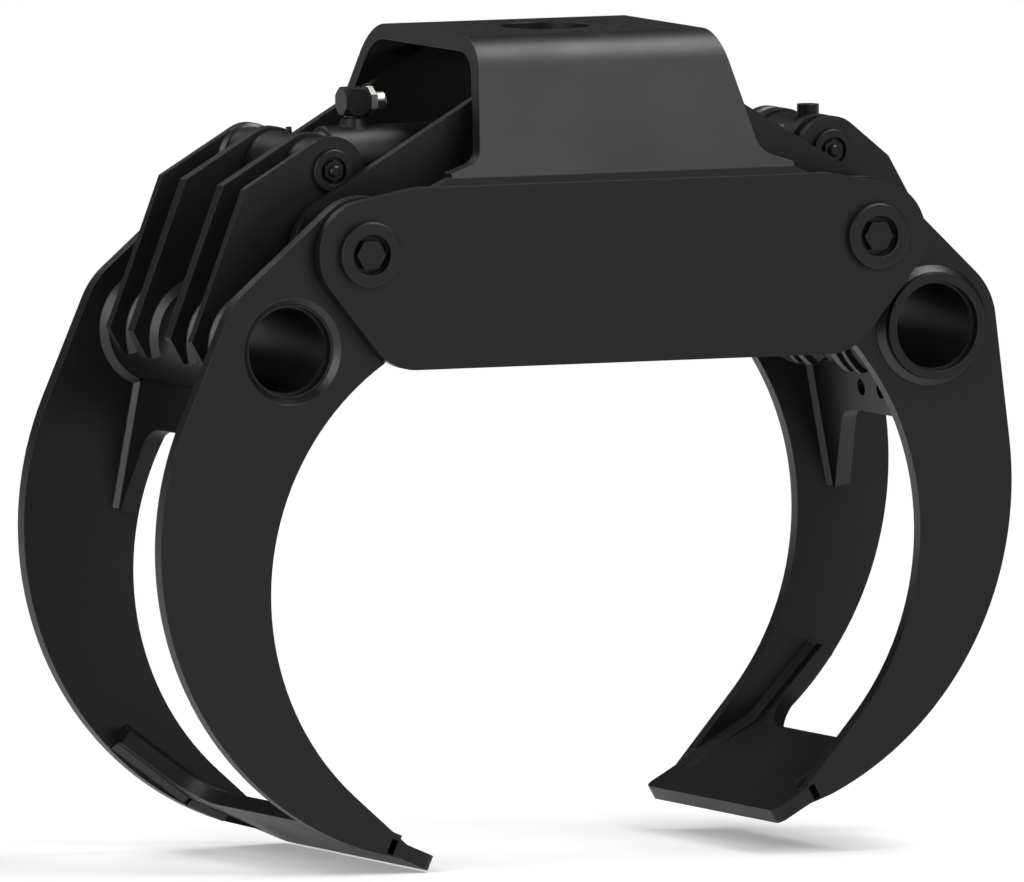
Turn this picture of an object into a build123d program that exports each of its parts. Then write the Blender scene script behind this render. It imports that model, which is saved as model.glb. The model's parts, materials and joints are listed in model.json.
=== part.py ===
from build123d import *
from math import acos, atan2, cos, degrees, hypot, radians, sin, tan
from types import SimpleNamespace
import os

os.makedirs("parts", exist_ok=True)

# A log grapple for a crane rotator: a welded frame carries two curved claws on four stub pins,
# one lying cylinder between the tops of the claws opens and closes them, and a link below the
# cylinder keeps them in step. The origin is the centre of the rotator face on top of the frame,
# +Z is up, +X is right and -Y is the front. All sizes are millimetres.

# Layout
pin_x = 365.0              # main pivots, to the left and right of the middle
pin_drop = 270.0           # rotator face down to the main pivots
open_angle = 30.0          # travel of each claw from the modelled pose, outwards
seat_gap = 0.1             # gap between welded or seated pieces
running_gap = 0.05         # radial play of a pin in its bush

# Layers from the mid plane outwards
eye_half_width = 48.0
eye_side_gap = 1.0
inner_lug_t = 18.0
left_housing_length = 56.0
right_housing_length = 21.0
outer_lug_t = 12.0
lug_to_frame_gap = 14.0
inner_plate_t = 15.0
hub_side_gap = 1.0
right_hub_inner_length = 12.0
right_plate_t = 20.0
claw_to_claw_gap = 9.0
left_plate_t = 20.0
claw_to_frame_gap = 3.0
outer_plate_t = 15.0

# Rotator bracket
bracket_t = 20.0
bracket_slope = 24.3       # lean of the side walls from upright
bracket_bend_r = 70.0
bracket_top_half_length = 173.0
bracket_root_half_length = 202.0
bracket_root_height = 30.7  # where a wall's end turns into its foot, above the underside
bracket_foot_reach = 44.2   # foot beyond that root
bracket_foot_height = 16.3  # at the foot's end
bracket_foot_taper = 23.4   # underside beyond the foot's end
bracket_foot_r = 26.0
bracket_lip = 10.0
rotator_bore_d = 120.0
inner_bolt_pcd = 173.0
inner_bolt_d = 17.0
outer_bolt_pcd = 203.2
outer_bolt_d = 19.0
bolt_count = 6

# Frame side plates
outer_plate_top = 85.0
outer_plate_top_half_length = 295.0
outer_plate_bottom = 153.0
outer_plate_end_r = 71.0
outer_plate_side_angle = 50.7
outer_plate_corner_r = 75.0
inner_plate_drop = 25.0    # its top edge below the rotator face, inside the bracket's wall
inner_plate_end_r = 72.0
inner_plate_top_angle = 30.0
inner_plate_bottom_angle = 12.0
inner_plate_bottom = 125.0

# Main pivot pins
pivot_r = 25.0
pivot_head_r = 36.0
pivot_head_t = 6.0
pivot_recess = 3.0
pivot_bolt_r = 12.0
pivot_bolt_length = 45.0
pivot_bolt_flats = 36.0
pivot_bolt_head_t = 11.0
pivot_collar_r = 43.0
pivot_collar_bore_r = 27.0
pivot_collar_t = 10.0
pivot_collar_edge = 3.0
hub_bush_wall = 5.0
hub_boss_r = 58.0

# Claw plates, measured from the main pivot with X outwards
hub_r = 74.5
tube_x = 101.0
tube_z = -124.5
tube_r = 70.0
tube_wall = 11.5
tube_step = 3.0
tube_step_depth = 14.0
tube_end_beyond_right_plate = 20.0

left_rim_r = 104.5
left_back_angle = 23.77    # direction square to the straight back below the rim
left_back_length = 141.1
left_outer_r = 418.0
left_outer_end = -72.0
left_inner_shift_x = -93.36  # centre of the inner edge from that of the outer edge
left_inner_shift_z = -62.21
left_inner_inset = 63.6      # inner edge's radius below the outer edge's
left_inner_start = -48.8
left_inner_end = 57.2

right_rim_r = 94.5
right_back_angle = 7.09
right_back_length = 165.6
right_outer_r = 441.8
right_outer_end = -66.0
right_inner_shift_x = -62.0
right_inner_shift_z = -61.9
right_inner_inset = 70.4
right_inner_start = -41.0
right_inner_end = 46.6

# Tip plates
tip_t = 20.0
tip_slot = 10.0
tip_corner_r = 12.0
prong_length = 132.0
prong_width = 27.0
notch_r = 62.0
notch_below_bend = 3.0
left_tip_shift_x = -104.13   # leading edge from the end of the claw's outer edge
left_tip_shift_z = -13.77
left_tip_angle = 23.2
left_tip_bend = 13.0
left_tip_base = 159.2
left_tip_head = 58.2
left_tip_lap = 45.2
left_tip_root = 47.2
right_tip_shift_x = -83.3
right_tip_shift_z = -18.1
right_tip_angle = 29.6
right_tip_bend = 17.9
right_tip_base = 169.0
right_tip_head = 58.0
right_tip_lap = 51.0
right_tip_root = 50.0

# Web under each cross tube
web_x = 124.3
web_z = -192.6
web_angle = 10.6
web_t = 22.0
web_length = 173.0
web_height = 60.0
left_web_leg_root = 57.0   # width of a leg at the arch
right_web_leg_root = 79.0
web_leg_end = 12.0
web_arch_r = 42.0
web_hole_r = 11.0
web_hole_y = 29.0
web_hole_drop = 27.0

# Lugs and cylinder pins
top_pin_x = 3.0
top_pin_z = 101.5
top_pin_r = 20.0
lug_end_r = 45.0
pin_housing_r = 39.0
lug_inner_foot = -55.0
lug_rim_r = 88.0           # round the tube, on the side towards the other claw
lug_rim_end = 232.0
lug_rim_cut = 243.0
left_lug_corner_x = 127.6
left_lug_corner_z = 81.2
left_lug_heel_x = 203.6
left_lug_heel_z = -115.3
left_lug_toe_x = 184.0
left_lug_toe_z = -149.5
right_lug_corner_x = 85.6
right_lug_corner_z = 92.0
right_lug_heel_x = 190.0
right_lug_heel_z = -90.0
right_lug_toe_x = 180.0
right_lug_toe_z = -118.0
top_collar_r = 28.0
top_collar_bore_r = 18.0
top_collar_t = 7.0
top_collar_edge = 2.0
top_nut_flats = 25.0
top_nut_t = 7.0
top_bolt_r = 7.5
top_bolt_length = 13.0
top_bolt_edge = 2.0

# Weld beads
bead = 10.0
web_bead = 7.5
housing_bead = 6.0
tip_bead = 10.0
bead_end_gap = 2.0         # from a weld's end to the end of the plate beside it
tip_bead_under = 55.0      # before the bend, on the lower face
web_bead_clear = 2.0       # degrees round the tube, each side of the web
lug_bead_end = 235.0

# Cylinder
barrel_r = 47.5
barrel_bore_r = 40.0
barrel_length = 345.0
eye_r = 40.0
eye_bush_wall = 4.0
eye_to_barrel = 48.0
eye_neck_r = 34.0
eye_neck_start = 30.0
base_wall = 20.0
gland_length = 55.0
gland_lip_r = 44.0
gland_lip_length = 8.0
rod_r = 25.0
rod_neck_r = 32.0
rod_neck_length = 16.0
piston_length = 45.0
piston_gap = 0.1
piston_from_base = 118.0
ring_groove_depth = 4.0
ring_width = 8.0
port_x = 93.0              # from the cylinder's left eye towards the right
port_boss_base_r = 21.0
port_boss_r = 15.0
port_boss_sink = 6.0
port_boss_height = 9.0
port_neck_r = 12.0
port_neck_height = 4.0
port_block_side = 36.0
port_block_height = 36.0
port_block_edge = 14.0     # length left of each upright edge
port_block_top_r = 18.5
adapter_hex_flats = 33.0
adapter_hex_length = 11.0
adapter_hex_edge = 2.5
adapter_r = 11.5
adapter_length = 15.0
adapter_dome = 4.0
adapter_bore_r = 6.0
nipple_r = 5.0
nipple_sink = 3.0
nipple_hex_height = 3.0
nipple_height = 8.0
nipple_taper = 8.0
guard_r = 14.5
guard_bore_r = 8.0
guard_height = 16.0
guard_y = 28.0

# Link that keeps the claws in step
link_crank = 26.0
link_pin_r = 12.5
link_eye_r = 25.0
link_bar_height = 36.0
link_bar_t = 30.0
link_open_gap = 0.4
link_pin_head_r = 18.0
link_pin_head_t = 5.0

# Faces of the layers, worked out from the mid plane outwards
inner_lug_at = eye_half_width + eye_side_gap
housing_at = inner_lug_at + inner_lug_t
left_outer_lug_at = housing_at + left_housing_length
right_outer_lug_at = housing_at + right_housing_length
inner_plate_at = left_outer_lug_at + outer_lug_t + lug_to_frame_gap
hub_at = inner_plate_at + inner_plate_t + hub_side_gap
right_plate_at = hub_at + right_hub_inner_length
right_plate_face = right_plate_at + right_plate_t
left_plate_at = right_plate_face + claw_to_claw_gap
left_plate_face = left_plate_at + left_plate_t
outer_plate_at = left_plate_face + claw_to_frame_gap
outer_plate_face = outer_plate_at + outer_plate_t
right_hub_face = outer_plate_at - hub_side_gap
tube_end = right_plate_face + tube_end_beyond_right_plate
hub_bush_r = pivot_r + running_gap + hub_bush_wall
top_pin_world_z = top_pin_z - pin_drop
link_offset = link_crank * (1 - cos(radians(open_angle)))

front_view = Plane(origin=(0, 0, -pin_drop), x_dir=(1, 0, 0), z_dir=(0, -1, 0))
claw_view = Plane(origin=(pin_x, 0, -pin_drop), x_dir=(1, 0, 0), z_dir=(0, -1, 0))
top_pin_view = Plane(origin=(pin_x + top_pin_x, 0, top_pin_world_z), x_dir=(1, 0, 0), z_dir=(0, -1, 0))

left = SimpleNamespace(
    name="left", mirrored=True, plate_at=left_plate_at, plate_t=left_plate_t, plate_face=left_plate_face,
    hubs=[(hub_at, left_plate_at)], bush_end=left_plate_face, rim_r=left_rim_r,
    back_angle=left_back_angle, back_length=left_back_length, outer_r=left_outer_r, outer_end=left_outer_end,
    inner_shift=(left_inner_shift_x, left_inner_shift_z), inner_inset=left_inner_inset,
    inner_span=(left_inner_start, left_inner_end), tip_shift=(left_tip_shift_x, left_tip_shift_z),
    tip_angle=left_tip_angle, tip_bend=left_tip_bend, tip_base=left_tip_base, tip_head=left_tip_head,
    tip_lap=left_tip_lap, tip_root=left_tip_root, outer_lug_at=left_outer_lug_at,
    corner=(left_lug_corner_x, left_lug_corner_z), heel=(left_lug_heel_x, left_lug_heel_z),
    toe=(left_lug_toe_x, left_lug_toe_z), leg_root=left_web_leg_root, link_z=-link_crank)
right = SimpleNamespace(
    name="right", mirrored=False, plate_at=right_plate_at, plate_t=right_plate_t, plate_face=right_plate_face,
    hubs=[(hub_at, right_plate_at), (right_plate_face, right_hub_face)], bush_end=right_hub_face,
    rim_r=right_rim_r, back_angle=right_back_angle, back_length=right_back_length, outer_r=right_outer_r,
    outer_end=right_outer_end, inner_shift=(right_inner_shift_x, right_inner_shift_z),
    inner_inset=right_inner_inset, inner_span=(right_inner_start, right_inner_end),
    tip_shift=(right_tip_shift_x, right_tip_shift_z), tip_angle=right_tip_angle, tip_bend=right_tip_bend,
    tip_base=right_tip_base, tip_head=right_tip_head, tip_lap=right_tip_lap, tip_root=right_tip_root,
    outer_lug_at=right_outer_lug_at, corner=(right_lug_corner_x, right_lug_corner_z),
    heel=(right_lug_heel_x, right_lug_heel_z), toe=(right_lug_toe_x, right_lug_toe_z),
    leg_root=right_web_leg_root, link_z=link_crank)


def polar(centre, radius, angle):
    return (centre[0] + radius * cos(radians(angle)), centre[1] + radius * sin(radians(angle)))


def angle_of(centre, point):
    return degrees(atan2(point[1] - centre[1], point[0] - centre[0]))


def outer_tangent(first, first_r, second, second_r):
    """Touch points of the straight edge on the left of the way from the first circle to the second."""
    away = hypot(second[0] - first[0], second[1] - first[1])
    turn = angle_of(first, second) + degrees(acos((first_r - second_r) / away))
    return polar(first, first_r, turn), polar(second, second_r, turn)


def tangent_from(point, centre, radius, side):
    """Touch point of the straight edge from a point to a circle, side +1 or -1 of the way to the centre."""
    away = hypot(point[0] - centre[0], point[1] - centre[1])
    turn = angle_of(centre, point) + side * degrees(acos(radius / away))
    return polar(centre, radius, turn)


def clockwise_arc(centre, radius, start, end):
    first = angle_of(centre, start)
    return CenterArc(centre, radius, first, -((first - angle_of(centre, end)) % 360))


def save(part, label):
    part.label = label
    export_step(part, f"parts/{label}.step")


def save_front_and_rear(part, label):
    save(part, f"{label}_front")
    with BuildPart() as rear:
        mirror(part, about=Plane.XZ)
    save(rear.part, f"{label}_rear")


def placed(part, claw):
    """A claw's piece is drawn on the right; the left claw's is turned over to its own side."""
    if not claw.mirrored:
        return part
    with BuildPart() as turned:
        mirror(part, about=Plane.YZ)
    return turned.part


# Rotator bracket: a bent plate with leaning walls, cut to a wide foot on each side
bracket_height = pin_drop - outer_plate_top
lean = tan(radians(bracket_slope))
wall_across = bracket_t / cos(radians(bracket_slope))
lip_top = bracket_lip - bracket_height
top_half_width = outer_plate_face + lean * lip_top
cavity_half_width = outer_plate_face - bracket_t
cavity_lean_start = lip_top - (wall_across - bracket_t) / lean
cavity_top_half_width = top_half_width - wall_across + lean * bracket_t
foot_end = bracket_root_half_length + bracket_foot_reach
foot_tip = foot_end + bracket_foot_taper

with BuildPart() as rotator_bracket:
    with BuildSketch(Plane.YZ):
        with BuildLine():
            Polyline((-outer_plate_face, -bracket_height), (-outer_plate_face, lip_top), (-top_half_width, 0),
                     (top_half_width, 0), (outer_plate_face, lip_top), (outer_plate_face, -bracket_height),
                     close=True)
        make_face()
        fillet(vertices().group_by(Axis.Y)[-1], bracket_bend_r)
    extrude(amount=foot_tip, both=True)
    with BuildSketch(Plane.YZ):
        with BuildLine():
            Polyline((-cavity_half_width, -bracket_height), (-cavity_half_width, cavity_lean_start),
                     (-cavity_top_half_width, -bracket_t), (cavity_top_half_width, -bracket_t),
                     (cavity_half_width, cavity_lean_start), (cavity_half_width, -bracket_height), close=True)
        make_face()
        fillet(vertices().group_by(Axis.Y)[-1], bracket_bend_r - bracket_t)
    extrude(amount=foot_tip, both=True, mode=Mode.SUBTRACT)
    with BuildSketch(Plane.XZ):
        with BuildLine():
            half = Polyline((0, -bracket_height), (foot_tip, -bracket_height), (foot_end, lip_top),
                            (foot_end, bracket_foot_height - bracket_height),
                            (bracket_root_half_length, bracket_root_height - bracket_height),
                            (bracket_top_half_length, 0), (0, 0))
            mirror(half, about=Plane.YZ)
        make_face()
        roots = vertices().filter_by(lambda v: abs(abs(v.X) - bracket_root_half_length) < 0.01)
        fillet(roots, bracket_foot_r)
    extrude(amount=outer_plate_face, both=True, mode=Mode.INTERSECT)
    with Locations((0, 0, 0)):
        Hole(rotator_bore_d / 2, depth=bracket_t)
    with PolarLocations(inner_bolt_pcd / 2, bolt_count):
        Hole(inner_bolt_d / 2, depth=bracket_t)
    with PolarLocations(outer_bolt_pcd / 2, bolt_count, start_angle=180 / bolt_count):
        Hole(outer_bolt_d / 2, depth=bracket_t)
save(rotator_bracket.part, "rotator_bracket")


# Frame side plates: the outer pair carries the bracket, the inner pair is welded up inside it
end_centre = (pin_x, 0)
end_touch = tangent_from((outer_plate_top_half_length, outer_plate_top), end_centre, outer_plate_end_r, -1)
side_normal = outer_plate_side_angle - 90
side_touch = polar(end_centre, outer_plate_end_r, side_normal)
side_run = (outer_plate_bottom + side_touch[1]) / sin(radians(outer_plate_side_angle))
bottom_corner = (side_touch[0] - side_run * cos(radians(outer_plate_side_angle)), -outer_plate_bottom)

with BuildPart() as outer_plate:
    with BuildSketch(front_view.offset(outer_plate_at)):
        with BuildLine():
            Polyline((0, outer_plate_top), (outer_plate_top_half_length, outer_plate_top), end_touch)
            clockwise_arc(end_centre, outer_plate_end_r, end_touch, side_touch)
            Polyline(side_touch, bottom_corner, (0, -outer_plate_bottom), (0, outer_plate_top))
        make_face()
        mirror(about=Plane.YZ)
        fillet(vertices().group_by(Axis.Y)[0], outer_plate_corner_r)
        with Locations((-pin_x, 0), (pin_x, 0)):
            Circle(pivot_r + seat_gap, mode=Mode.SUBTRACT)
    extrude(amount=outer_plate_t)
save_front_and_rear(outer_plate.part, "outer_plate")

inner_top = pin_drop - inner_plate_drop
top_touch = polar(end_centre, inner_plate_end_r, 90 - inner_plate_top_angle)
top_run = (inner_top - top_touch[1]) / tan(radians(inner_plate_top_angle))
low_touch = polar(end_centre, inner_plate_end_r, inner_plate_bottom_angle - 90)
low_run = (inner_plate_bottom + low_touch[1]) / tan(radians(inner_plate_bottom_angle))

with BuildPart() as inner_plate:
    with BuildSketch(front_view.offset(inner_plate_at)):
        with BuildLine():
            Polyline((0, inner_top), (top_touch[0] - top_run, inner_top), top_touch)
            clockwise_arc(end_centre, inner_plate_end_r, top_touch, low_touch)
            Polyline(low_touch, (low_touch[0] - low_run, -inner_plate_bottom), (0, -inner_plate_bottom),
                     (0, inner_top))
        make_face()
        mirror(about=Plane.YZ)
        with Locations((-pin_x, 0), (pin_x, 0)):
            Circle(pivot_r + seat_gap, mode=Mode.SUBTRACT)
    extrude(amount=inner_plate_t)
    add(rotator_bracket.part, mode=Mode.SUBTRACT)
save_front_and_rear(inner_plate.part, "inner_plate")


# Main pivot pins: a headed pin in each hub, its collar and the bolt in the collar's recess
pivot_end = outer_plate_face - pivot_recess
pivot_places = [(-pin_x, 0), (pin_x, 0)]

with BuildPart() as pivot_pins:
    with BuildSketch(front_view.offset(inner_plate_at - pivot_head_t)):
        with Locations(*pivot_places):
            Circle(pivot_head_r)
    extrude(amount=pivot_head_t)
    with BuildSketch(front_view.offset(inner_plate_at)):
        with Locations(*pivot_places):
            Circle(pivot_r)
    extrude(amount=pivot_end - inner_plate_at)
    with BuildSketch(front_view.offset(pivot_end)):
        with Locations(*pivot_places):
            Circle(pivot_bolt_r + seat_gap)
    extrude(amount=-(pivot_bolt_length + seat_gap), mode=Mode.SUBTRACT)
    mirror(about=Plane.XZ)
save(pivot_pins.part, "pivot_pins")

with BuildPart() as pivot_collars:
    with BuildSketch(front_view.offset(outer_plate_face)):
        with Locations(*pivot_places):
            Circle(pivot_collar_r)
            Circle(pivot_collar_bore_r, mode=Mode.SUBTRACT)
    extrude(amount=pivot_collar_t)
    rims = pivot_collars.edges().group_by(Axis.Y)[0].filter_by(lambda e: e.radius > pivot_collar_bore_r)
    fillet(rims, pivot_collar_edge)
    mirror(about=Plane.XZ)
save(pivot_collars.part, "pivot_collars")

with BuildPart() as pivot_bolts:
    with BuildSketch(front_view.offset(pivot_end)):
        with Locations(*pivot_places):
            RegularPolygon(pivot_bolt_flats / 2, 6, major_radius=False)
    extrude(amount=pivot_bolt_head_t)
    with BuildSketch(front_view.offset(pivot_end)):
        with Locations(*pivot_places):
            Circle(pivot_bolt_r)
    extrude(amount=-pivot_bolt_length)
    mirror(about=Plane.XZ)
save(pivot_bolts.part, "pivot_bolts")


# Claw outlines: the straight back leaves the rim, the outer edge follows it, and the inner edge
# and the tip keep their places from the outer edge
for claw in (left, right):
    claw.rim_end = polar((tube_x, tube_z), claw.rim_r, claw.back_angle)
    claw.outer_start = polar(claw.rim_end, claw.back_length, claw.back_angle - 90)
    claw.outer = polar(claw.outer_start, -claw.outer_r, claw.back_angle)
    claw.outer_stop = polar(claw.outer, claw.outer_r, claw.outer_end)
    claw.inner = (claw.outer[0] + claw.inner_shift[0], claw.outer[1] + claw.inner_shift[1])
    claw.inner_r = claw.outer_r - claw.inner_inset
    claw.tip = (claw.outer_stop[0] + claw.tip_shift[0], claw.outer_stop[1] + claw.tip_shift[1])


def tip_point(claw, along, above):
    """A point beside the tip plate: along it from the leading edge, and above its upper face."""
    turn = radians(claw.tip_angle)
    return (claw.tip[0] + along * cos(turn) - above * sin(turn),
            claw.tip[1] + along * sin(turn) + above * cos(turn))


def prong_point(claw, along, above):
    """A point beside the bent-up part of the tip plate, from the bend on its upper face."""
    bend = tip_point(claw, claw.tip_base, 0)
    turn = radians(claw.tip_angle + claw.tip_bend)
    return (bend[0] + along * cos(turn) - above * sin(turn), bend[1] + along * sin(turn) + above * cos(turn))


def claw_plate(claw):
    hub, tube = (0, 0), (tube_x, tube_z)
    hub_touch, rim_start = outer_tangent(hub, hub_r, tube, claw.rim_r)
    inner_start = polar(claw.inner, claw.inner_r, claw.inner_span[0])
    inner_stop = polar(claw.inner, claw.inner_r, claw.inner_span[1])
    hub_start = tangent_from(inner_stop, hub, hub_r, -1)
    slot_end = claw.tip_head + tip_slot
    with BuildPart() as plate:
        with BuildSketch(claw_view.offset(claw.plate_at)):
            with BuildLine():
                clockwise_arc(hub, hub_r, hub_start, hub_touch)
                Line(hub_touch, rim_start)
                clockwise_arc(tube, claw.rim_r, rim_start, claw.rim_end)
                Line(claw.rim_end, claw.outer_start)
                clockwise_arc(claw.outer, claw.outer_r, claw.outer_start, claw.outer_stop)
                Polyline(claw.outer_stop, tip_point(claw, claw.tip_root, -tip_t),
                         tip_point(claw, slot_end, -tip_t), tip_point(claw, slot_end, 0),
                         tip_point(claw, claw.tip_lap, 0), inner_start)
                clockwise_arc(claw.inner, claw.inner_r, inner_stop, inner_start)
                Line(inner_stop, hub_start)
            make_face()
            Circle(hub_bush_r + seat_gap, mode=Mode.SUBTRACT)
            with Locations(tube):
                Circle(tube_r + seat_gap, mode=Mode.SUBTRACT)
        extrude(amount=claw.plate_t)
    return plate.part


def hub_bosses(claw):
    with BuildPart() as bosses:
        for near, far in claw.hubs:
            with BuildSketch(claw_view.offset(near)):
                Circle(hub_boss_r)
                Circle(hub_bush_r + seat_gap, mode=Mode.SUBTRACT)
            extrude(amount=far - near)
        mirror(about=Plane.XZ)
    return bosses.part


def hub_bushes(claw):
    with BuildPart() as bushes:
        with BuildSketch(claw_view.offset(hub_at)):
            Circle(hub_bush_r)
            Circle(pivot_r + running_gap, mode=Mode.SUBTRACT)
        extrude(amount=claw.bush_end - hub_at)
        mirror(about=Plane.XZ)
    return bushes.part


def cross_tube():
    """The tube between the claw's plates, with a turned step just inside each mouth."""
    bore_r = tube_r - tube_wall
    with BuildPart() as tube:
        with BuildSketch(claw_view):
            with Locations((tube_x, tube_z)):
                Circle(tube_r)
                Circle(bore_r - tube_step, mode=Mode.SUBTRACT)
        extrude(amount=tube_end, both=True)
        with BuildSketch(claw_view.offset(tube_end - tube_step_depth)):
            with Locations((tube_x, tube_z)):
                Circle(bore_r)
        mouth = extrude(amount=tube_step_depth, mode=Mode.SUBTRACT)
        mirror(mouth, about=Plane.XZ, mode=Mode.SUBTRACT)
    return tube.part


def lug_pair(claw, near, thickness, link_hole):
    """Two lug plates, front and rear, from round the cross tube up to the cylinder pin."""
    pin, tube = (top_pin_x, top_pin_z), (tube_x, tube_z)
    end_start = (pin[0] - lug_end_r, pin[1])
    end_stop = tangent_from(claw.corner, pin, lug_end_r, 1)
    foot = (end_start[0], lug_inner_foot)
    rim_start = polar(tube, lug_rim_r, lug_rim_end)
    rim_stop = tangent_from(foot, tube, lug_rim_r, 1)
    with BuildPart() as lugs:
        with BuildSketch(claw_view.offset(near)):
            with BuildLine():
                clockwise_arc(pin, lug_end_r, end_start, end_stop)
                Polyline(end_stop, claw.corner, claw.heel, claw.toe, (tube_x, claw.toe[1]), tube,
                         polar(tube, tube_r, lug_rim_cut), rim_start)
                clockwise_arc(tube, lug_rim_r, rim_start, rim_stop)
                Polyline(rim_stop, foot, end_start)
            make_face()
            with Locations(pin):
                Circle(top_pin_r + seat_gap, mode=Mode.SUBTRACT)
            with Locations(tube):
                Circle(tube_r + seat_gap, mode=Mode.SUBTRACT)
            if link_hole:
                with Locations((0, claw.link_z)):
                    Circle(link_pin_r + seat_gap, mode=Mode.SUBTRACT)
        extrude(amount=thickness)
        mirror(about=Plane.XZ)
    return lugs.part


def pin_housings(claw):
    with BuildPart() as housings:
        with BuildSketch(top_pin_view.offset(housing_at)):
            Circle(pin_housing_r)
            Circle(top_pin_r + seat_gap, mode=Mode.SUBTRACT)
        extrude(amount=claw.outer_lug_at - housing_at)
        mirror(about=Plane.XZ)
    return housings.part


def cylinder_pin(claw):
    lug_face = claw.outer_lug_at + outer_lug_t
    with BuildPart() as pin:
        with BuildSketch(top_pin_view):
            Circle(top_pin_r)
        extrude(amount=lug_face, both=True)
        with BuildSketch(top_pin_view.offset(lug_face)):
            Circle(top_bolt_r)
        extrude(amount=top_bolt_length)
        chamfer(pin.edges().group_by(Axis.Y)[0], top_bolt_edge)
        with BuildSketch(top_pin_view.offset(lug_face)):
            Circle(top_bolt_r)
        extrude(amount=-(2 * lug_face + top_bolt_length))
        chamfer(pin.edges().group_by(Axis.Y)[-1], top_bolt_edge)
    return pin.part


def cylinder_pin_collars(claw):
    with BuildPart() as collars:
        with BuildSketch(top_pin_view.offset(claw.outer_lug_at + outer_lug_t)):
            Circle(top_collar_r)
            Circle(top_collar_bore_r, mode=Mode.SUBTRACT)
        extrude(amount=top_collar_t)
        rims = collars.edges().group_by(Axis.Y)[0].filter_by(lambda e: e.radius > top_collar_bore_r)
        fillet(rims, top_collar_edge)
        mirror(about=Plane.XZ)
    return collars.part


def cylinder_pin_nuts(claw):
    with BuildPart() as nuts:
        with BuildSketch(top_pin_view.offset(claw.outer_lug_at + outer_lug_t)):
            RegularPolygon(top_nut_flats / 2, 6, major_radius=False, rotation=30)
            Circle(top_bolt_r + seat_gap, mode=Mode.SUBTRACT)
        extrude(amount=top_nut_t)
        mirror(about=Plane.XZ)
    return nuts.part


def web(claw):
    """The plate that stiffens the claw below its tube, cut to an arch with a leg down each side."""
    turn = radians(web_angle)
    face = Plane(origin=(pin_x + web_x, 0, web_z - pin_drop), x_dir=(0, 1, 0),
                 z_dir=(cos(turn), 0, sin(turn)))
    half_width = claw.plate_at - seat_gap
    arch = half_width - claw.leg_root
    opening = half_width - web_leg_end
    with BuildPart() as plate:
        with BuildSketch(face):
            with Locations((0, web_t)):
                Rectangle(2 * half_width, web_length + web_t, align=(Align.CENTER, Align.MAX))
        extrude(amount=-web_t)
        with BuildSketch(face):
            with BuildLine():
                Polyline((-arch, -web_height), (arch, -web_height), (opening, -web_length),
                         (-opening, -web_length), close=True)
            make_face()
            fillet(vertices().group_by(Axis.Y)[-1], web_arch_r)
            with Locations((-web_hole_y, -web_hole_drop), (web_hole_y, -web_hole_drop)):
                Circle(web_hole_r)
        extrude(amount=web_t, both=True, mode=Mode.SUBTRACT)
        with BuildSketch(claw_view):
            with Locations((tube_x, tube_z)):
                Circle(tube_r + seat_gap)
        extrude(amount=tube_end, both=True, mode=Mode.SUBTRACT)
    return plate.part


def tip_plate(claw):
    """The bent tip: a head as wide as the claw, a neck between its plates and two prongs up them."""
    prong_turn = radians(claw.tip_angle + claw.tip_bend)
    miter = tip_t * tan(radians(claw.tip_bend / 2))
    bend = tip_point(claw, claw.tip_base, 0)
    far = claw.tip_base + 2 * prong_length
    prong_face = Plane(origin=(pin_x + bend[0], 0, bend[1] - pin_drop),
                       x_dir=(cos(prong_turn), 0, sin(prong_turn)),
                       z_dir=(-sin(prong_turn), 0, cos(prong_turn)))
    neck = claw.plate_at - seat_gap
    with BuildPart() as plate:
        with BuildSketch(claw_view):
            with BuildLine():
                Polyline(tip_point(claw, 0, 0), bend, prong_point(claw, prong_length, 0),
                         prong_point(claw, prong_length, -tip_t),
                         tip_point(claw, claw.tip_base + miter, -tip_t), tip_point(claw, 0, -tip_t),
                         close=True)
            make_face()
        extrude(amount=claw.plate_face, both=True)
        corners = plate.edges().filter_by(lambda e: abs(e.length - tip_t) < 0.01).group_by(Axis.Z)[0]
        fillet(corners, tip_corner_r)
        with BuildSketch(claw_view.offset(neck)):
            with BuildLine():
                Polyline(tip_point(claw, claw.tip_head, far), tip_point(claw, far, far),
                         tip_point(claw, far, -far), tip_point(claw, claw.tip_head, -far), close=True)
            make_face()
        side = extrude(amount=claw.plate_face, mode=Mode.SUBTRACT)
        mirror(side, about=Plane.XZ, mode=Mode.SUBTRACT)
        with BuildSketch(prong_face):
            with Locations((-notch_below_bend, 0)):
                Rectangle(2 * prong_length, 2 * (neck - prong_width), align=(Align.MIN, Align.CENTER))
            low = vertices().group_by(Axis.X)[0]
            fillet(low, notch_r)
        extrude(amount=3 * tip_t, both=True, mode=Mode.SUBTRACT)
    return plate.part


def bead_ring(centre, profile, start, sweep):
    """A weld round a tube: its section as distance from the mid plane and radius, from an angle on."""
    middle = (pin_x + centre[0], 0, centre[1] - pin_drop)
    turn = radians(start)
    with BuildPart() as ring:
        with BuildSketch(Plane(origin=middle, x_dir=(0, -1, 0), z_dir=(-sin(turn), 0, cos(turn)))):
            with BuildLine():
                Polyline(*profile, close=True)
            make_face()
        revolve(axis=Axis(middle, (0, -1, 0)), revolution_arc=sweep)
    return ring.part


def fillet_section(radius, face, side, size):
    """The three corners of a fillet weld in the corner of a tube and a plate's face."""
    root = radius + seat_gap
    return [(face, root), (face, root + size), (face + side * size, root)]


def lug_beads(claw):
    tube = (tube_x, tube_z)
    start = angle_of(tube, (tube_x + tube_r, claw.toe[1]))
    sweep = lug_bead_end - start
    between = min(bead, (claw.outer_lug_at - housing_at) / 2 - seat_gap)
    rows = [(inner_lug_at, -1, bead), (housing_at, 1, between), (claw.outer_lug_at, -1, between),
            (claw.outer_lug_at + outer_lug_t, 1, bead)]
    with BuildPart() as beads:
        for face, side, size in rows:
            add(bead_ring(tube, fillet_section(tube_r, face, side, size), start, sweep))
        mirror(about=Plane.XZ)
    return beads.part


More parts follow.
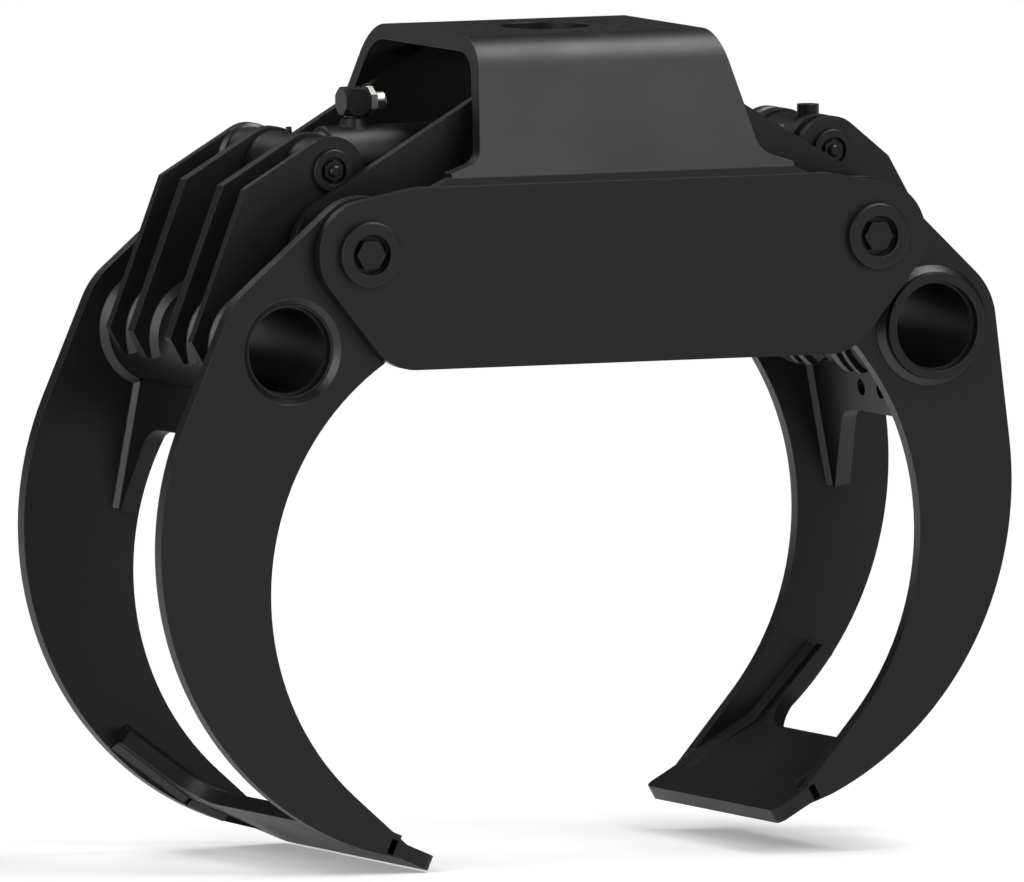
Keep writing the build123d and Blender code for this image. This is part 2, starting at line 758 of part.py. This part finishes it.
def housing_beads(claw):
    section = fillet_section(pin_housing_r, claw.outer_lug_at, -1, housing_bead)
    with BuildPart() as beads:
        add(bead_ring((top_pin_x, top_pin_z), section, 0, 360))
        mirror(about=Plane.XZ)
    return beads.part


def plate_beads(claw):
    """Welds of the claw plates to the tube, the inner ones stopping at the web."""
    tube = (tube_x, tube_z)
    web_root = angle_of(tube, (web_x, web_z))
    sweep = 360 - 2 * web_bead_clear - degrees(web_t / tube_r)
    sunk = claw.plate_face - tube_end
    inside = fillet_section(tube_r, claw.plate_at, -1, bead)
    outside = fillet_section(tube_r, claw.plate_face, 1, bead)
    if sunk > 0:
        outside = [(tube_end, tube_r), (claw.plate_face, tube_r), (tube_end, tube_r - sunk)]
    with BuildPart() as beads:
        add(bead_ring(tube, inside, web_root + web_bead_clear, sweep))
        add(bead_ring(tube, outside, 0, 360))
        mirror(about=Plane.XZ)
    return beads.part


def web_beads(claw):
    """Welds of the web to the claw plates, down both of its faces."""
    turn = radians(web_angle)
    start = Plane(origin=(pin_x + web_x, 0, web_z - pin_drop), x_dir=(0, -1, 0),
                  z_dir=(sin(turn), 0, -cos(turn))).offset(bead_end_gap)
    edge = claw.plate_at - seat_gap
    with BuildPart() as beads:
        for face, out in ((0, -web_bead), (web_t, web_bead)):
            with BuildSketch(start):
                with BuildLine():
                    Polyline((edge, face), (edge, face + out), (edge - web_bead, face), close=True)
                make_face()
            extrude(amount=web_length - 2 * bead_end_gap)
        mirror(about=Plane.XZ)
    return beads.part


def bead_run(origin, turn, lift, length):
    """A straight weld beside the claw plate, on the upper face (lift 1) or the lower face (lift -1)."""
    plane = Plane(origin=(pin_x + origin[0], 0, origin[1] - pin_drop), x_dir=(0, -1, 0),
                  z_dir=(cos(turn), 0, sin(turn)))
    edge = origin[2]
    with BuildPart() as bead_bar:
        with BuildSketch(plane):
            with BuildLine():
                Polyline((edge, 0), (edge - tip_bead, 0), (edge, -lift * tip_bead), close=True)
            make_face()
        extrude(amount=length)
    return bead_bar.part


def tip_beads(claw):
    """Welds along both faces of the tip plate, up the claw plates' inner sides."""
    edge = claw.plate_at - seat_gap
    base_turn = radians(claw.tip_angle)
    prong_turn = base_turn + radians(claw.tip_bend)
    miter = tip_t * tan(radians(claw.tip_bend / 2))
    prong_run = prong_length - bead_end_gap
    over = claw.tip_lap + bead_end_gap
    under = claw.tip_base - tip_bead_under
    with BuildPart() as beads:
        add(bead_run((*tip_point(claw, over, 0), edge), base_turn, 1, claw.tip_base - over))
        add(bead_run((*prong_point(claw, 0, 0), edge), prong_turn, 1, prong_run))
        add(bead_run((*tip_point(claw, under, -tip_t), edge), base_turn, -1, tip_bead_under + miter))
        add(bead_run((*prong_point(claw, miter, -tip_t), edge), prong_turn, -1, prong_run - miter))
        mirror(about=Plane.XZ)
    return beads.part


def weld_beads(claw):
    with BuildPart() as beads:
        add(lug_beads(claw))
        add(housing_beads(claw))
        add(plate_beads(claw))
        add(web_beads(claw))
        add(tip_beads(claw))
    return beads.part


def link_pin(claw):
    with BuildPart() as pin:
        with BuildSketch(claw_view):
            with Locations((0, claw.link_z)):
                Circle(link_pin_r)
        extrude(amount=housing_at, both=True)
        with BuildSketch(claw_view.offset(housing_at)):
            with Locations((0, claw.link_z)):
                Circle(link_pin_head_r)
        head = extrude(amount=link_pin_head_t)
        mirror(head, about=Plane.XZ)
    return pin.part


for claw in (left, right):
    pieces = {
        "hub_bosses": hub_bosses(claw),
        "hub_bushes": hub_bushes(claw),
        "cross_tube": cross_tube(),
        "inner_lugs": lug_pair(claw, inner_lug_at, inner_lug_t, True),
        "outer_lugs": lug_pair(claw, claw.outer_lug_at, outer_lug_t, False),
        "pin_housings": pin_housings(claw),
        "cylinder_pin": cylinder_pin(claw),
        "pin_collars": cylinder_pin_collars(claw),
        "pin_nuts": cylinder_pin_nuts(claw),
        "web": web(claw),
        "tip_plate": tip_plate(claw),
        "weld_beads": weld_beads(claw),
        "link_pin": link_pin(claw),
    }
    save_front_and_rear(placed(claw_plate(claw), claw), f"{claw.name}_claw_plate")
    for label, piece in pieces.items():
        save(placed(piece, claw), f"{claw.name}_{label}")


# Cylinder: the barrel hangs on the left claw's pin, the rod on the right claw's
left_eye_x = -(pin_x + top_pin_x)
right_eye_x = pin_x + top_pin_x
barrel_start = left_eye_x + eye_to_barrel
barrel_end = barrel_start + barrel_length
bush_r = top_pin_r + running_gap + eye_bush_wall
eye_top = top_pin_world_z + eye_r


def across(x):
    """The plane square to the cylinder at x, with the sketch's second axis up."""
    return Plane(origin=(x, 0, top_pin_world_z), x_dir=(0, 1, 0), z_dir=(1, 0, 0))


def eye_view(x):
    return Plane(origin=(x, 0, top_pin_world_z), x_dir=(1, 0, 0), z_dir=(0, -1, 0))


port_at = left_eye_x + port_x
boss_top = top_pin_world_z + barrel_r + port_boss_height

with BuildPart() as barrel:
    with BuildSketch(across(barrel_start)):
        Circle(barrel_r)
    extrude(amount=barrel_length)
    with Locations((port_at, 0, boss_top - port_boss_height - port_boss_sink)):
        Cone(port_boss_base_r, port_boss_r, port_boss_height + port_boss_sink,
             align=(Align.CENTER, Align.CENTER, Align.MIN))
    with BuildSketch(across(barrel_start)):
        Circle(barrel_bore_r)
    extrude(amount=barrel_length, mode=Mode.SUBTRACT)
    with BuildSketch(Plane.XY.offset(boss_top)):
        with Locations((port_at, 0)):
            Circle(adapter_bore_r)
    extrude(amount=-(barrel_r + port_boss_height), mode=Mode.SUBTRACT)
save(barrel.part, "cylinder_barrel")

shoulder = eye_to_barrel - seat_gap
plug_r = barrel_bore_r - seat_gap
plug_end = eye_to_barrel + base_wall
flare = (eye_neck_start + (shoulder - eye_neck_start) * sin(radians(45)),
         barrel_r - (barrel_r - eye_neck_r) * cos(radians(45)))

with BuildPart() as base_eye:
    with BuildSketch(eye_view(left_eye_x)):
        with BuildLine():
            Polyline((0, 0), (0, eye_neck_r), (eye_neck_start, eye_neck_r))
            ThreePointArc((eye_neck_start, eye_neck_r), flare, (shoulder, barrel_r))
            Polyline((shoulder, barrel_r), (shoulder, plug_r), (plug_end, plug_r), (plug_end, 0), (0, 0))
        make_face()
    revolve(axis=Axis((left_eye_x, 0, top_pin_world_z), (1, 0, 0)))
    with BuildSketch(eye_view(left_eye_x)):
        Circle(eye_r)
    extrude(amount=eye_half_width, both=True)
    with BuildSketch(eye_view(left_eye_x)):
        Circle(bush_r + seat_gap)
    extrude(amount=eye_half_width, both=True, mode=Mode.SUBTRACT)
    with BuildSketch(Plane.XY.offset(eye_top - nipple_sink)):
        with Locations((left_eye_x, 0)):
            Circle(nipple_r + seat_gap)
    extrude(amount=eye_r, mode=Mode.SUBTRACT)
save(base_eye.part, "base_eye")


def eye_bush(x):
    with BuildPart() as bush:
        with BuildSketch(eye_view(x)):
            Circle(bush_r)
            Circle(top_pin_r + running_gap, mode=Mode.SUBTRACT)
        extrude(amount=eye_half_width, both=True)
    return bush.part


save(eye_bush(left_eye_x), "base_eye_bush")
save(eye_bush(right_eye_x), "rod_eye_bush")

with BuildPart() as gland:
    with BuildSketch(across(barrel_end - gland_length)):
        Circle(barrel_bore_r - seat_gap)
    extrude(amount=gland_length)
    with BuildSketch(across(barrel_end)):
        Circle(gland_lip_r)
    extrude(amount=gland_lip_length)
    with BuildSketch(across(barrel_end - gland_length)):
        Circle(rod_r + running_gap)
    extrude(amount=gland_length + gland_lip_length, mode=Mode.SUBTRACT)
    with BuildSketch(across(barrel_end + gland_lip_length - ring_groove_depth)):
        Circle(rod_r + ring_width)
    extrude(amount=ring_groove_depth, mode=Mode.SUBTRACT)
save(gland.part, "gland")

with BuildPart() as rod_wiper:
    with BuildSketch(across(barrel_end + gland_lip_length - ring_groove_depth)):
        Circle(rod_r + ring_width - seat_gap)
        Circle(rod_r + running_gap, mode=Mode.SUBTRACT)
    extrude(amount=ring_groove_depth)
save(rod_wiper.part, "rod_wiper")

piston_back = barrel_start + base_wall + piston_from_base
ring_at = piston_back + (piston_length - ring_width) / 2

with BuildPart() as piston:
    with BuildSketch(across(piston_back)):
        Circle(barrel_bore_r - piston_gap)
    extrude(amount=piston_length)
    with BuildSketch(across(ring_at)):
        Circle(barrel_bore_r)
        Circle(barrel_bore_r - ring_groove_depth, mode=Mode.SUBTRACT)
    extrude(amount=ring_width, mode=Mode.SUBTRACT)
save(piston.part, "piston")

with BuildPart() as piston_ring:
    with BuildSketch(across(ring_at)):
        Circle(barrel_bore_r - piston_gap)
        Circle(barrel_bore_r - ring_groove_depth + seat_gap, mode=Mode.SUBTRACT)
    extrude(amount=ring_width)
save(piston_ring.part, "piston_ring")

rod_start = piston_back + piston_length
rod_end = right_eye_x - eye_r - rod_neck_length

with BuildPart() as rod:
    with BuildSketch(across(rod_start)):
        Circle(rod_r)
    extrude(amount=rod_end - rod_start)
save(rod.part, "cylinder_rod")

with BuildPart() as rod_eye:
    with BuildSketch(across(rod_end)):
        Circle(rod_neck_r)
    extrude(amount=right_eye_x - rod_end)
    with BuildSketch(eye_view(right_eye_x)):
        Circle(eye_r)
    extrude(amount=eye_half_width, both=True)
    with BuildSketch(eye_view(right_eye_x)):
        Circle(bush_r + seat_gap)
    extrude(amount=eye_half_width, both=True, mode=Mode.SUBTRACT)
save(rod_eye.part, "rod_eye")

neck_top = boss_top + port_neck_height
block_centre_z = neck_top + port_block_height / 2
block_corner_r = port_block_side / 2 / cos(radians(45))
adapter_face = Plane(origin=(port_at + port_block_side / 2, 0, block_centre_z), x_dir=(0, 1, 0),
                     z_dir=(1, 0, 0))

# The block is square bar turned to a double cone, which leaves each side nearly round
with BuildPart() as port_block:
    with BuildSketch(Plane(origin=(port_at, 0, block_centre_z), x_dir=(1, 0, 0), z_dir=(0, -1, 0))):
        with BuildLine():
            Polyline((0, -port_block_height / 2), (port_block_top_r, -port_block_height / 2),
                     (block_corner_r, -port_block_edge / 2), (block_corner_r, port_block_edge / 2),
                     (port_block_top_r, port_block_height / 2), (0, port_block_height / 2), close=True)
        make_face()
    revolve(axis=Axis((port_at, 0, 0), (0, 0, 1)))
    with Locations((port_at, 0, block_centre_z)):
        Box(port_block_side, port_block_side, port_block_height, mode=Mode.INTERSECT)
    with BuildSketch(Plane.XY.offset(boss_top)):
        with Locations((port_at, 0)):
            Circle(port_neck_r)
    extrude(amount=port_neck_height)
    with BuildSketch(Plane.XY.offset(boss_top)):
        with Locations((port_at, 0)):
            Circle(adapter_bore_r)
    extrude(amount=block_centre_z - boss_top, mode=Mode.SUBTRACT)
    with BuildSketch(adapter_face):
        Circle(adapter_bore_r)
    extrude(amount=-port_block_side / 2, mode=Mode.SUBTRACT)
save(port_block.part, "port_block")

with BuildPart() as port_adapter:
    with BuildSketch(adapter_face):
        RegularPolygon(adapter_hex_flats / 2, 6, major_radius=False, rotation=30)
    extrude(amount=adapter_hex_length)
    chamfer(port_adapter.faces().sort_by(Axis.X)[-1].edges(), adapter_hex_edge)
    with BuildSketch(adapter_face.offset(adapter_hex_length)):
        Circle(adapter_r)
    extrude(amount=adapter_length)
    fillet(port_adapter.edges().group_by(Axis.X)[-1], adapter_dome)
    with BuildSketch(adapter_face):
        Circle(adapter_bore_r)
    extrude(amount=adapter_hex_length + adapter_length, mode=Mode.SUBTRACT)
save(port_adapter.part, "port_adapter")

with BuildPart() as base_grease_nipple:
    with BuildSketch(Plane.XY.offset(eye_top - nipple_sink)):
        with Locations((left_eye_x, 0)):
            RegularPolygon(nipple_r, 6)
    extrude(amount=nipple_sink + nipple_hex_height)
    with BuildSketch(Plane.XY.offset(eye_top + nipple_hex_height)):
        with Locations((left_eye_x, 0)):
            Circle(nipple_r * cos(radians(30)))
    extrude(amount=nipple_height - nipple_hex_height, taper=nipple_taper)
save(base_grease_nipple.part, "base_grease_nipple")

with BuildPart() as rod_eye_guard:
    with BuildSketch(Plane.XY.offset(eye_top)):
        with Locations((right_eye_x, -guard_y)):
            Circle(guard_r)
            Circle(guard_bore_r, mode=Mode.SUBTRACT)
    extrude(amount=guard_height)
    with BuildSketch(Plane.XY.offset(top_pin_world_z)):
        with Locations((right_eye_x, -guard_y)):
            Circle(guard_r)
    extrude(amount=eye_r)
    with BuildSketch(eye_view(right_eye_x)):
        Circle(eye_r + seat_gap)
    extrude(amount=eye_half_width, both=True, mode=Mode.SUBTRACT)
save(rod_eye_guard.part, "rod_eye_guard")


# Link: hung on the left claw below its pivot, it reaches the right claw above its pivot
link_start = (-pin_x, -link_crank)
link_end = (pin_x, link_crank - link_offset)
link_turn = angle_of(link_start, link_end)

with BuildPart() as sync_link:
    with BuildSketch(front_view):
        with BuildLine():
            Polyline(polar(link_start, link_bar_height / 2, link_turn + 90),
                     polar(link_end, link_bar_height / 2, link_turn + 90),
                     polar(link_end, link_bar_height / 2, link_turn - 90),
                     polar(link_start, link_bar_height / 2, link_turn - 90), close=True)
        make_face()
    extrude(amount=link_bar_t / 2, both=True)
    with BuildSketch(front_view):
        with Locations(link_start, link_end):
            Circle(link_eye_r)
    extrude(amount=eye_half_width, both=True)
    with BuildSketch(front_view):
        with Locations(link_start):
            Circle(link_pin_r + running_gap)
        with Locations(link_end):
            Circle(link_pin_r + link_offset + link_open_gap)
    extrude(amount=eye_half_width, both=True, mode=Mode.SUBTRACT)
save(sync_link.part, "sync_link")
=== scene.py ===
import json
from math import cos, radians, sin

import bpy
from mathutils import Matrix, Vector


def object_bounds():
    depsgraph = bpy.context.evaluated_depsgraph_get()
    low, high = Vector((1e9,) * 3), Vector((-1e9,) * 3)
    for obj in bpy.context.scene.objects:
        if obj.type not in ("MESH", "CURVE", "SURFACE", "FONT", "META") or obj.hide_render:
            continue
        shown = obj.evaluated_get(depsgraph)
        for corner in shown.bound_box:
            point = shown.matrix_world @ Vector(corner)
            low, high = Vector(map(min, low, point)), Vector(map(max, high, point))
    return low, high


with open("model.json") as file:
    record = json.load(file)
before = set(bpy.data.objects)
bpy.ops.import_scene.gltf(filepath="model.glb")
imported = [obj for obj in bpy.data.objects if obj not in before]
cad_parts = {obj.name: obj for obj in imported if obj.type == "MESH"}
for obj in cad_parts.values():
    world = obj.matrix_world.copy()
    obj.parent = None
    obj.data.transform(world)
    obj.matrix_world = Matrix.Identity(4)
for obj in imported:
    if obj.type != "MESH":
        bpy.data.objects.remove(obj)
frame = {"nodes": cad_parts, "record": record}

cad_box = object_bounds()
nodes = frame["nodes"]
white = (1.0, 1.0, 1.0, 1.0)

# Camera: the photograph is nearly parallel, seen from the front left and a little above
photo_width = 1024
metres_per_pixel = 0.001308
camera_azimuth = -25.0
camera_elevation = 4.9
camera_lens = 1400.0
camera_sensor = 36.0
camera_target = Vector((-0.0384, 0.018, -0.5449))

# Softboxes, in metres and watts: the key shines on the bracket's bend, the front one on its slope and the
# side one on the welds round the left tube; the back one serves the views from behind
softboxes = {
    "key": {"place": Vector((1.2, -0.1, 2.2)), "size": 1.6, "watts": 62.0},
    "front": {"place": Vector((0.9, -2.4, 1.6)), "size": 2.2, "watts": 44.0},
    "side": {"place": Vector((-2.6, -1.2, 0.7)), "size": 2.2, "watts": 45.0},
    "back": {"place": Vector((-1.3, 1.9, 2.3)), "size": 2.0, "watts": 45.0},
}

# Surroundings: strength of the light on surfaces, and what is seen at and above the horizon
ambient = 0.05
paper_white = 1.0
ceiling_level = 0.03
ceiling_rise = (0.0, 0.07)

# Floor, in metres: opaque out to the first radius of the fade, gone at the second
floor_drop = 0.002
floor_radius = 3.0
floor_sides = 96
floor_fade = (0.75, 1.6)
floor_grey = 0.92
floor_rough = 0.9
floor_lift = 0.3

# Edges: samples, and the cosines of the lean at which edge wear and the painted edge highlight begin and are
# full
edge_samples = 4
edge_lean = (0.98, 0.85)

# Black coat: noise scales per metre, edge radius in metres, shades as factors of the base colour,
# spans of a noise with the values they give, and bumps as strength and depth in metres
coat_black = (0.005, 0.005, 0.0052)
coat_cloud, coat_grain, coat_peel, coat_scuff = 7.0, 900.0, 260.0, 38.0
coat_edge = 0.0018
# The last of these lightens the coat on its edges: partly wear, partly a painted highlight along the edges
cloud_dark, cloud_light, speck_light, wear_and_highlight_shade = 0.8, 1.25, 2.2, 3.4
scuff_span, scuff_share = (0.45, 0.7), (0.15, 1.0)
speck_span, speck_share = (0.56, 0.72), (0.0, 0.35)
cloud_span = (0.3, 0.7)
satin_smoother, satin_rougher, worn_smoother = 0.04, 0.05, 0.1
peel_bump, grain_bump = (0.10, 0.0004), (0.16, 0.0002)
ripple_scale, ripple_depth = 150.0, 0.0012

# Bare metal, in the same terms; the turning marks are stretched across the grain
metal_cloud = 60.0
metal_edge = 0.0008
metal_stretch = 0.06
stain_span = (0.35, 0.7)
metal_smoother, metal_rougher = 0.05, 0.08
# Bare metal edges are painted lighter by this factor: a painted highlight
edge_highlight_shade = 1.2
mark_bump = (0.12, 0.0002)

# Rubber, in the same terms
rubber_cloud, rubber_grain = 120.0, 1500.0
rubber_light = 1.8
rubber_rough = (0.55, 0.7)
rubber_bump = (0.15, 0.0001)


def link(tree, source, target):
    tree.links.new(source, target)


def new_material(name):
    """A material with its tree, its shader and the place on the piece in metres."""
    material = bpy.data.materials.new(name)
    material.use_nodes = True
    tree = material.node_tree
    shader = tree.nodes["Principled BSDF"]
    place = tree.nodes.new("ShaderNodeTexCoord").outputs["Object"]
    return material, tree, shader, place


def noise(tree, place, scale, detail=2.0, rough=0.5):
    node = tree.nodes.new("ShaderNodeTexNoise")
    node.inputs["Scale"].default_value = scale
    node.inputs["Detail"].default_value = detail
    node.inputs["Roughness"].default_value = rough
    link(tree, place, node.inputs["Vector"])
    return node.outputs["Fac"]


def remap(tree, value, span, result):
    """Takes a value from the range span to the range result, and holds it at the ends."""
    node = tree.nodes.new("ShaderNodeMapRange")
    for socket, number in zip(("From Min", "From Max", "To Min", "To Max"), (*span, *result)):
        node.inputs[socket].default_value = number
    link(tree, value, node.inputs["Value"])
    return node.outputs["Result"]


def combine(tree, kind, first, second):
    """Arithmetic on two values, each a number or a socket."""
    node = tree.nodes.new("ShaderNodeMath")
    node.operation = kind
    for socket, value in zip(node.inputs, (first, second)):
        if isinstance(value, (int, float)):
            socket.default_value = value
        else:
            link(tree, value, socket)
    return node.outputs["Value"]


def blend_colours(tree, amount, first, second):
    """From the first colour to the second, each a tuple or a socket."""
    node = tree.nodes.new("ShaderNodeMix")
    node.data_type = "RGBA"
    link(tree, amount, node.inputs["Factor"])
    for socket, colour in ((node.inputs["A"], first), (node.inputs["B"], second)):
        if isinstance(colour, tuple):
            socket.default_value = (*colour, 1.0)
        else:
            link(tree, colour, socket)
    return node.outputs["Result"]


def edge_mask(tree, radius):
    """1 on sharp edges and 0 on flats: how far the rounded normal leans from the true one."""
    rounded = tree.nodes.new("ShaderNodeBevel")
    rounded.samples = edge_samples
    rounded.inputs["Radius"].default_value = radius
    true_normal = tree.nodes.new("ShaderNodeNewGeometry").outputs["Normal"]
    dot = tree.nodes.new("ShaderNodeVectorMath")
    dot.operation = "DOT_PRODUCT"
    link(tree, rounded.outputs["Normal"], dot.inputs[0])
    link(tree, true_normal, dot.inputs[1])
    return remap(tree, dot.outputs["Value"], edge_lean, (0.0, 1.0)), rounded.outputs["Normal"]


def bump(tree, shader, layers, normal=None):
    """Bump layers (height, strength, depth in metres), each on top of the one before."""
    for height, strength, depth in layers:
        node = tree.nodes.new("ShaderNodeBump")
        node.inputs["Strength"].default_value = strength
        node.inputs["Distance"].default_value = depth
        link(tree, height, node.inputs["Height"])
        if normal is not None:
            link(tree, normal, node.inputs["Normal"])
        normal = node.outputs["Normal"]
    link(tree, normal, shader.inputs["Normal"])


def shade(colour, factor):
    return tuple(part * factor for part in colour)


def black_coat(name, base, rough, sheen, ripple=0.0):
    """Satin black powder coat: fine grain, cloudy sheen, and thin edges painted lighter, partly as wear and
    partly as a painted highlight.
    """
    material, tree, shader, place = new_material(name)
    cloud = noise(tree, place, coat_cloud, detail=4.0, rough=0.6)
    grain = noise(tree, place, coat_grain, detail=2.0, rough=0.6)
    peel = noise(tree, place, coat_peel, detail=1.0)
    edge, rounded = edge_mask(tree, coat_edge)
    scuff = remap(tree, noise(tree, place, coat_scuff, detail=5.0, rough=0.7), scuff_span, scuff_share)
    edge_wear_and_highlight = combine(tree, "MULTIPLY", edge, scuff)
    plain = blend_colours(tree, cloud, shade(base, cloud_dark), shade(base, cloud_light))
    speck = remap(tree, grain, speck_span, speck_share)
    speckled = blend_colours(tree, speck, plain, shade(base, speck_light))
    # Edges painted lighter: partly wear, partly a painted highlight along the edges
    link(tree, blend_colours(tree, edge_wear_and_highlight, speckled, shade(base, wear_and_highlight_shade)), shader.inputs["Base Color"])
    satin = remap(tree, cloud, cloud_span, (rough - satin_smoother, rough + satin_rougher))
    rubbed = combine(tree, "MULTIPLY", edge_wear_and_highlight, worn_smoother)
    link(tree, combine(tree, "SUBTRACT", satin, rubbed), shader.inputs["Roughness"])
    shader.inputs["Specular IOR Level"].default_value = sheen
    layers = [(peel, *peel_bump), (grain, *grain_bump)]
    if ripple:
        layers.insert(0, (noise(tree, place, ripple_scale), ripple, ripple_depth))
    bump(tree, shader, layers, rounded)
    return material


def bare_metal(name, colour, stain, rough, grain):
    """Bright metal with turning marks, cloudy stains, smooth edges and a painted highlight along them."""
    material, tree, shader, place = new_material(name)
    stretch = tree.nodes.new("ShaderNodeMapping")
    across = metal_stretch * grain
    stretch.inputs["Scale"].default_value = (grain, across, across)
    link(tree, place, stretch.inputs["Vector"])
    marks = noise(tree, stretch.outputs["Vector"], 1.0, detail=3.0, rough=0.6)
    cloud = noise(tree, place, metal_cloud, detail=4.0, rough=0.6)
    edge, rounded = edge_mask(tree, metal_edge)
    tinted = blend_colours(tree, remap(tree, cloud, stain_span, (0.0, 1.0)), colour, stain)
    # Edges painted lighter: a painted highlight along the edges
    link(tree, blend_colours(tree, edge, tinted, shade(colour, edge_highlight_shade)), shader.inputs["Base Color"])
    shader.inputs["Metallic"].default_value = 1.0
    polish = remap(tree, cloud, cloud_span, (rough - metal_smoother, rough + metal_rougher))
    link(tree, polish, shader.inputs["Roughness"])
    bump(tree, shader, [(marks, *mark_bump)], rounded)
    return material


def seal_rubber(name, base):
    """Dull black rubber with a faint grain."""
    material, tree, shader, place = new_material(name)
    cloud = noise(tree, place, rubber_cloud, detail=3.0)
    link(tree, blend_colours(tree, cloud, base, shade(base, rubber_light)), shader.inputs["Base Color"])
    link(tree, remap(tree, cloud, cloud_span, rubber_rough), shader.inputs["Roughness"])
    bump(tree, shader, [(noise(tree, place, rubber_grain), *rubber_bump)])
    return material


materials = {
    "black_coat": black_coat("black_coat", coat_black, rough=0.44, sheen=0.34),
    "black_hardware": black_coat("black_hardware", shade(coat_black, 0.95), rough=0.38, sheen=0.32),
    "weld": black_coat("coated_weld", shade(coat_black, 1.15), rough=0.4, sheen=0.55, ripple=0.25),
    "chrome": bare_metal("hard_chrome", (0.62, 0.63, 0.65), (0.52, 0.53, 0.55), rough=0.12, grain=900.0),
    "steel": bare_metal("turned_steel", (0.45, 0.45, 0.46), (0.36, 0.35, 0.34), rough=0.32, grain=1600.0),
    "zinc": bare_metal("zinc_plate", (0.60, 0.62, 0.58), (0.50, 0.53, 0.46), rough=0.3, grain=1800.0),
    "bronze": bare_metal("bearing_bronze", (0.46, 0.29, 0.14), (0.30, 0.19, 0.10), rough=0.36, grain=1200.0),
    "rubber": seal_rubber("seal_rubber", (0.012, 0.012, 0.013)),
}


def dress_nodes():
    """Each node gets the finish of its slot in the record; weld beads get their own."""
    slots = {entry["node"]: entry["material_slot"] for entry in frame["record"]["subparts"]}
    for name, piece in nodes.items():
        finish = "weld" if name.endswith("weld_beads") else slots[name]
        piece.data.materials.clear()
        piece.data.materials.append(materials[finish])


def add_camera():
    """A very long lens, so far off that the picture is nearly parallel."""
    width = photo_width * metres_per_pixel
    distance = width * camera_lens / camera_sensor
    turn, rise = radians(camera_azimuth), radians(camera_elevation)
    away = Vector((sin(turn) * cos(rise), -cos(turn) * cos(rise), sin(rise)))
    data = bpy.data.cameras.new("camera")
    data.lens = camera_lens
    data.sensor_width = camera_sensor
    data.clip_end = 4 * distance
    camera = bpy.data.objects.new("camera", data)
    camera.location = camera_target + away * distance
    camera.rotation_euler = (-away).to_track_quat("-Z", "Y").to_euler()
    bpy.context.collection.objects.link(camera)
    bpy.context.scene.camera = camera


def add_softbox(name, place, size, watts):
    """A round lamp that faces the middle of the picture."""
    data = bpy.data.lights.new(name, "AREA")
    data.shape = "DISK"
    data.size = size
    data.energy = watts
    lamp = bpy.data.objects.new(name, data)
    lamp.location = place
    lamp.rotation_euler = (camera_target - place).to_track_quat("-Z", "Y").to_euler()
    bpy.context.collection.objects.link(lamp)


def seen_directly(tree):
    """1 for camera, glossy and transmitted rays, 0 for the light that falls on surfaces."""
    rays = tree.nodes.new("ShaderNodeLightPath").outputs
    either = combine(tree, "MAXIMUM", rays["Is Camera Ray"], rays["Is Glossy Ray"])
    return combine(tree, "MAXIMUM", either, rays["Is Transmission Ray"])


def set_world():
    """White paper up to the horizon and a dim ceiling above it, seen alike by the camera and by gloss."""
    world = bpy.data.worlds.new("studio")
    world.use_nodes = True
    bpy.context.scene.world = world
    tree = world.node_tree
    paper = tree.nodes["Background"]
    paper.inputs["Color"].default_value = white
    split = tree.nodes.new("ShaderNodeSeparateXYZ")
    link(tree, tree.nodes.new("ShaderNodeTexCoord").outputs["Generated"], split.inputs["Vector"])
    room = remap(tree, split.outputs["Z"], ceiling_rise, (paper_white, ceiling_level))
    shown = combine(tree, "SUBTRACT", room, ambient)
    lifted = combine(tree, "MULTIPLY", seen_directly(tree), shown)
    link(tree, combine(tree, "ADD", lifted, ambient), paper.inputs["Strength"])


def add_floor():
    """A pale floor that keeps the shadow near the object and fades into the white round it. Its lift
    towards white is seen, but lights nothing."""
    low, high = cad_box
    bpy.ops.mesh.primitive_circle_add(vertices=floor_sides, radius=floor_radius, fill_type="NGON")
    floor = bpy.context.object
    floor.name = "floor"
    floor.location = (0.5 * (low[0] + high[0]), 0.5 * (low[1] + high[1]), low[2] - floor_drop)
    material, tree, shader, place = new_material("pale_floor")
    shader.inputs["Base Color"].default_value = (floor_grey, floor_grey, floor_grey, 1.0)
    shader.inputs["Roughness"].default_value = floor_rough
    shader.inputs["Specular IOR Level"].default_value = 0.0
    shader.inputs["Emission Color"].default_value = white
    link(tree, combine(tree, "MULTIPLY", seen_directly(tree), floor_lift), shader.inputs["Emission Strength"])
    length = tree.nodes.new("ShaderNodeVectorMath")
    length.operation = "LENGTH"
    link(tree, place, length.inputs[0])
    link(tree, remap(tree, length.outputs["Value"], floor_fade, (1.0, 0.0)), shader.inputs["Alpha"])
    floor.data.materials.append(material)


dress_nodes()
add_camera()
for name, box in softboxes.items():
    add_softbox(name, **box)
set_world()
add_floor()
bpy.context.scene.view_settings.view_transform = "Standard"
